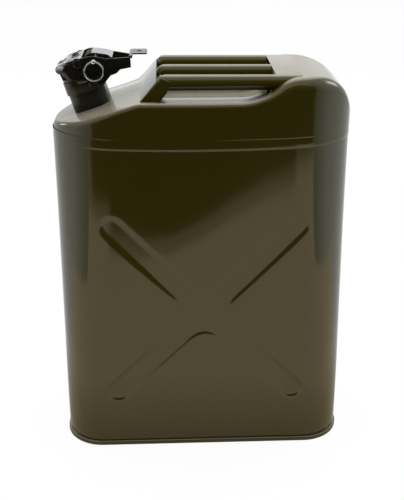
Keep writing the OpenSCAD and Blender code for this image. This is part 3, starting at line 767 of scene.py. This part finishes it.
def channel(half_width, depth, fold, thick):
    """Closed section of a channel that opens downwards: outer line with two round folds, then the inner."""
    def line(hw, r):
        left = arc((r - hw, -r), r, 180, 90, 6)
        right = arc((hw - r, -r), r, 90, 0, 6)
        return np.vstack([[(-hw, -depth)], left, right, [(hw, -depth)]])
    inner = line(half_width - thick, fold - thick) - np.array([0, thick])
    inner[[0, -1], 1] = -depth
    return np.vstack([line(half_width, fold), inner[::-1]])


def sweep(path, section, middle=0.0):
    """Carries a section along a line in the plane of the width and the height. The section's first number
    goes across the can, the second along the line's left-hand normal; corners are mitred."""
    step = np.diff(path, axis=0)
    step = step / np.linalg.norm(step, axis=1)[:, None]
    normal = np.stack([-step[:, 1], step[:, 0]], axis=1)
    before = np.vstack([normal[:1], normal])
    after = np.vstack([normal, normal[-1:]])
    lean = (before + after) / (1 + np.sum(before * after, axis=1))[:, None]
    place = path[:, None, :] + section[None, :, 1:2] * lean[:, None, :]
    across = np.broadcast_to(section[:, 0] + middle, place.shape[:2])
    return np.stack([place[..., 0], across, place[..., 1]], axis=-1)


print("a channel section has", len(channel(10, 10, 3, 1)), "points")

# %% [markdown]
# The leg rises from the lip, widens towards its foot and has a gusset plate at each side. The three bars
# leave it through a bend. They are nearly tubes, because their edges are turned down far, and they fall
# slightly towards the raised end, where the land joins them.

# %% Press the handle
HANDLE_TOP, HANDLE_T, HANDLE_HW = 465.2, 1.2, 63.7
BAR_W, BAR_H, BAR_R, LIP_H, BAR_FALL = 20.0, 17.4, 9.5, 10.5, 1.0
BEND_X, BEND_R, SLOT_END_X, SLOT_DROP, LAND_X = -47.0, 12.0, 80.5, 2.0, 109.5
LEG_RUN, LEG_SINK, LEG_DEPTH, LEG_FOLD, FLARE = 23.0, 4.0, 6.0, 3.0, 0.1
GUSSET, GUSSET_IN = 16.5, 0.2
FINE_MERGE = 0.001

bend_corner = np.array([BEND_X, HANDLE_TOP])
leg_angle = math.atan2(HANDLE_TOP - LIP_Z, LEG_RUN)
leg_way = np.array([math.cos(leg_angle), math.sin(leg_angle)])
bend_cut = BEND_R * math.tan(leg_angle / 2)
knee = bend_corner - leg_way * (bend_cut + SLOT_DROP)
foot = bend_corner - leg_way * ((HANDLE_TOP - LIP_Z + LEG_SINK) / math.sin(leg_angle))
bend = arc((BEND_X + bend_cut, HANDLE_TOP - BEND_R), BEND_R, 90 + math.degrees(leg_angle), 90, 10)
bar_path = np.vstack([[knee], bend, [(SLOT_END_X, HANDLE_TOP - BAR_FALL)]])
land_path = np.array([(SLOT_END_X, HANDLE_TOP), (LAND_X, HANDLE_TOP)]) - (0, BAR_FALL)
BARS = {"front": BAR_W / 2 - HANDLE_HW, "middle": 0.0, "rear": HANDLE_HW - BAR_W / 2}


def flared(grid):
    """Widens a grid towards the foot of the leg, by a share that grows evenly with the depth."""
    low = (HANDLE_TOP - grid[..., 2]) / (HANDLE_TOP - foot[1])
    wide = grid.copy()
    wide[..., 1] = grid[..., 1] * (1 + FLARE * np.clip(low, 0, 1))
    return wide


def gusset(face):
    """Flat plate from a face across by the sheet's thickness: five corners between foot, bend and bar."""
    inner_run = GUSSET / math.sin(leg_angle)
    inner_top = BEND_X + inner_run - BAR_H / math.tan(leg_angle)
    side = np.array([foot, (BEND_X + 1, HANDLE_TOP - 2), (inner_top + 4, HANDLE_TOP - 6),
                     (inner_top, HANDLE_TOP - BAR_H), foot + (inner_run, 0)])
    across = (face, face + HANDLE_T)
    return np.array([np.column_stack([side[:, 0], np.full(5, y), side[:, 1]]) for y in across])


leg = channel(HANDLE_HW, LEG_DEPTH, LEG_FOLD, HANDLE_T)
land = channel(HANDLE_HW, LIP_H, BAR_R, HANDLE_T)
bar = channel(BAR_W / 2, LIP_H, BAR_R, HANDLE_T)
grids = [flared(sweep(np.array([foot, knee]), leg)), sweep(land_path, land)]
grids += [sweep(bar_path, bar, middle) for middle in BARS.values()]
grids += [flared(gusset(face)) for face in (-HANDLE_HW + GUSSET_IN, HANDLE_HW - GUSSET_IN - HANDLE_T)]
handle = Sheet()
for grid in grids:
    handle.add_grid(grid, close_cols=True, cap_ends=True)
handle.build("pressed_handle", olive_enamel, "can", "handle_stamping", FINE_MERGE)

# %% [markdown]
# A bar that is open below would cut the hand, so a second channel, turned over, closes each one. It is the
# same section upside down and a little narrower, so that it nests between the bar's edges.

# %% Close the bars
LINER_T, LINER_R, LINER_GAP, LINER_START = 0.9, 6.5, 0.1, 4

liner_path = np.array([(BEND_X + LINER_START, HANDLE_TOP - BAR_H), (SLOT_END_X, HANDLE_TOP - BAR_H)])
trough = channel(BAR_W / 2 - HANDLE_T - LINER_GAP, LIP_H, LINER_R, LINER_T) * np.array([1, -1])
for name, middle in BARS.items():
    liner = Sheet()
    liner.add_grid(sweep(liner_path, trough, middle), close_cols=True, cap_ends=True)
    liner.build("liner_" + name, olive_enamel, "can", "handle_liner_" + name, FINE_MERGE)

# %% [markdown]
# Places on the closure are easiest to give along and up the leaning neck. The hinge is drawn slimmer than
# the construction model's, and the stem below it lies against the neck. Both are small moves of a copied
# piece's own points, chosen by their distance from the pin and by their place along the neck.

# %% Work along the neck
NECK_LEAN = math.radians(17)
NECK = np.array([-126.0, 436 - 54 * math.tan(NECK_LEAN)])
NECK_ALONG = np.array([math.cos(NECK_LEAN), math.sin(NECK_LEAN)])
NECK_UP = np.array([-math.sin(NECK_LEAN), math.cos(NECK_LEAN)])
HINGE_BORE, HINGE_R, HINGE_SLIM = 0.004, 0.0078, 0.72
STEM_HW, STEM_IN, STEM_TOP, STEM_SHIFT = 0.0076, 0.0027, -6 * MM, 0.0024


def from_neck(points):
    """Places along and up the neck, turned by its lean, as width and height of the can."""
    return NECK + points[..., :1] * NECK_ALONG + points[..., 1:] * NECK_UP


def slim_hinge(corners):
    """Draws the hinge in towards its pin, and the stem below it in to the side of the neck: points between
    the bore and the hinge's radius are scaled towards the pin, and points of the stem are shifted."""
    along = Vector((math.cos(NECK_LEAN), 0, math.sin(NECK_LEAN)))
    side = Vector((HINGE_X, 0, HINGE_Z)).dot(along)
    for corner in corners:
        out = Vector((corner.co.x - HINGE_X, 0, corner.co.z - HINGE_Z))
        low = out.z * math.cos(NECK_LEAN) - out.x * math.sin(NECK_LEAN)
        if HINGE_BORE < out.length < HINGE_R:
            corner.co -= out * (1 - HINGE_SLIM)
        elif low < STEM_TOP and abs(corner.co.y) < STEM_HW and corner.co.dot(along) < side - STEM_IN:
            corner.co += along * STEM_SHIFT


print("neck stands at", NECK.round(1), "mm")

# %% [markdown]
# The small closure pieces are true construction shapes already, so a copy with merged points and a fine
# bevel is enough: the bevel gives their edges the light line that painted metal has. A piece can also be
# cut short, where the model has more metal than the can.

# %% Copy and bevel the construction pieces
BEVEL_FROM = math.radians(35)
FLAT_WITHIN = math.radians(1)


def trim(cleaned, cut):
    """Cuts a mesh at a first point of the neck, square to the way to a second, and closes the cut. What
    lies on the second point's side goes."""
    place, end = from_neck(np.array(cut)) * MM
    way = end - place
    every = cleaned.verts[:] + cleaned.edges[:] + cleaned.faces[:]
    cut_line = bmesh.ops.bisect_plane(cleaned, geom=every, dist=1e-7, plane_co=(place[0], 0, place[1]),
                                      plane_no=(way[0], 0, way[1]), clear_outer=True)["geom_cut"]
    bmesh.ops.contextual_create(cleaned, geom=[e for e in cut_line if isinstance(e, bmesh.types.BMEdge)])


def bevelled_copy(source, material, body, width, cut=None, slim=False):
    """Copy of a node with merged points, a bevel on its sharp edges and smooth shading."""
    mesh = frame["nodes"][source].data.copy()
    cleaned = bmesh.new()
    cleaned.from_mesh(mesh)
    bmesh.ops.remove_doubles(cleaned, verts=cleaned.verts, dist=1e-6)
    if slim:
        slim_hinge(cleaned.verts)
    bmesh.ops.dissolve_limit(cleaned, angle_limit=FLAT_WITHIN, verts=cleaned.verts, edges=cleaned.edges)
    if cut:
        trim(cleaned, cut)
    cleaned.to_mesh(mesh)
    cleaned.free()
    mesh.materials.clear()
    mesh.materials.append(material)
    mesh.shade_smooth()
    piece = bpy.data.objects.new("dressed_" + source, mesh)
    bevel = piece.modifiers.new("edges", "BEVEL")
    bevel.width = width * MM
    bevel.segments = 2
    bevel.limit_method = "ANGLE"
    bevel.angle_limit = BEVEL_FROM
    bevel.harden_normals = True
    hand_over(piece, body, source)


print("bevels start at", round(math.degrees(BEVEL_FROM)), "degrees")

# %% [markdown]
# Most of the closure has the black of the body that it rides on: satin on the can, worn and paler on top on
# the cap, where the paler top is partly a painted sheen, shining on the lever. The pin in the hinge has the
# cap's black, worn and with a painted highlight on top, and the cap's stud and rivets have kept their paint.
# The rear side plate is cut short, so that daylight shows past it.

# %% Dress the closure
PLATE_BEVEL = 0.4
REAR_CUT = [(30, 52), (30.45, 52.9)]
CLOSURE = {
    "can": ["filler_neck", "mouth_ring", "neck_bracket", "catch_studs", "hinge_pin"],
    "cap": ["cap_bridge", "closing_disc", "disc_stud", "stud_washer", "pivot_rivets"],
    "lever": ["lever_plate_front"],
}
BODY_BLACK = {"can": black_satin, "cap": worn_black, "lever": black_enamel}
OWN_BLACK = {"hinge_pin": worn_black, "disc_stud": black_satin, "pivot_rivets": black_enamel}
SLIMMED = ("cap_bridge", "neck_bracket")

for body, names in CLOSURE.items():
    for name in names:
        finish = OWN_BLACK.get(name, BODY_BLACK[body])
        bevelled_copy(name, finish, body, PLATE_BEVEL, slim=name in SLIMMED)
bevelled_copy("lever_plate_rear", black_enamel, "lever", PLATE_BEVEL, cut=REAR_CUT)

# %% [markdown]
# The strap joins the lever's two side plates and carries the tab that a thumb lifts. It is a strip of sheet
# over a hump, and open between hump and tab. Its line is a few points, as shares of the lever's length and
# height from the pivot, eased by averaging neighbours three times. The rising part is flat black, the hump
# is paler on top, partly worn paint and partly a painted sheen, and the hump's end reaches out to the front.

# %% Bend the strap
PIVOT, LEVER_L, LEVER_H = np.array([2.3, 54.2]), 59.0, 33.0
HUMP = np.array([(0.16, 0.12), (0.26, 0.17), (0.35, 0.14), (0.53, -0.01), (0.64, -0.12), (0.79, -0.23),
                 (0.91, -0.26), (1.04, -0.28)])
STRAP_T, STRAP_HW = 1.6, 15.0
RISE_END, HUMP_START, HUMP_END = 20.5, 19.5, 42
HUMP_OUT, HUMP_IN = 9.7, 5


def ribbon(line, front, rear):
    """A strip of sheet along a line of the neck, between a front and a rear edge that may change along it."""
    step = np.gradient(line, axis=0)
    normal = np.stack([-step[:, 1], step[:, 0]], axis=1) / np.linalg.norm(step, axis=1)[:, None]
    top, low = from_neck(line), from_neck(line - STRAP_T * normal)
    corners = [(top, front), (top, rear), (low, rear), (low, front)]
    return np.stack([np.column_stack([p[:, 0], y, p[:, 1]]) for p, y in corners], axis=1)


knots = PIVOT + HUMP * (LEVER_L, LEVER_H)
strap_u = np.linspace(knots[0, 0], knots[-1, 0], 60)
strap_line = np.column_stack([strap_u, np.interp(strap_u, knots[:, 0], knots[:, 1])])
for _ in range(3):
    strap_line[1:-1, 1] = (strap_line[:-2, 1] + 2 * strap_line[1:-1, 1] + strap_line[2:, 1]) / 4

rising = strap_u < RISE_END
half = np.full(rising.sum(), STRAP_HW)
rise = Sheet()
rise.add_grid(ribbon(strap_line[rising], -half, half), close_cols=True, cap_ends=True)
rise.build("strap_rise", flat_black, "lever", "lever_strap", FINE_MERGE)

humped = (strap_u > HUMP_START) & (strap_u < HUMP_END)
spread = smooth(37, 41, strap_u[humped])
front, rear = -STRAP_HW - HUMP_OUT * spread, STRAP_HW - HUMP_IN * spread
hump = Sheet()
hump.add_grid(ribbon(strap_line[humped], front, rear), close_cols=True, cap_ends=True)
hump.build("strap_hump", hump_black, "lever", "lever_strap", FINE_MERGE)

# %% [markdown]
# The tab stands out level from the strap's end and has a hole in it. A plate with a hole needs no cutting:
# four rings of points at the same angles, on its edge and round the hole, above and below, join into a
# closed loop.

# %% Add the tab
TAB_L, TAB_HW, TAB_HOLE_R = 17, 13, 3.2
WEB_START, WEB_HW, WEB_REAR_IN = 59.5, 24.7, 12


def drilled_plate(start, way):
    """Flat plate with a round hole: each ring's points lie at even angles, and the edge's points are pushed
    out to the plate's rectangle."""
    angle = np.radians(np.arange(0, 360, 7.5))
    turn = np.stack([np.cos(angle), np.sin(angle)], axis=1)
    edge = turn / np.max(np.abs(turn) / (TAB_L / 2, TAB_HW), axis=1)[:, None]
    hole = turn * TAB_HOLE_R
    rings = []
    for flat, low in ((edge, 0), (hole, 0), (hole, STRAP_T), (edge, STRAP_T)):
        spot = from_neck(start + (flat[:, :1] + TAB_L / 2) * way - np.array([0, low]))
        rings.append(np.column_stack([spot[:, 0], flat[:, 1], spot[:, 1]]))
    return np.array(rings)


web = strap_line[strap_u > WEB_START]
web_edge = np.full(len(web), WEB_HW)
tab_way = np.array([math.cos(NECK_LEAN), -math.sin(NECK_LEAN)])
tab = Sheet()
tab.add_grid(ribbon(web, -web_edge, web_edge - WEB_REAR_IN), close_cols=True, cap_ends=True)
tab.add_grid(drilled_plate(strap_line[-1] - tab_way, tab_way), close_cols=True, close_rows=True)
tab.build("strap_tab", strap_black, "lever", "lever_strap", FINE_MERGE)

# %% [markdown]
# The bright pieces and the seal come last: the lock pin with its ring, the rubber under the cap, and the
# breather tube, which shows only when the cap is open. They keep the construction shapes, with smaller
# bevels where the metal is thin.

# %% Dress the pin, the ring, the seal and the tube
bevelled_copy("lock_pin", bright_steel, "lock_pin", 0.2)
bevelled_copy("pull_ring", bright_steel, "pull_ring", 0.05)
bevelled_copy("cap_gasket", gasket_rubber, "cap", 0.3)
bevelled_copy("breather_tube", bright_steel, "can", 0.1)

# %% [markdown]
# The dressed can must fit the construction model's box.
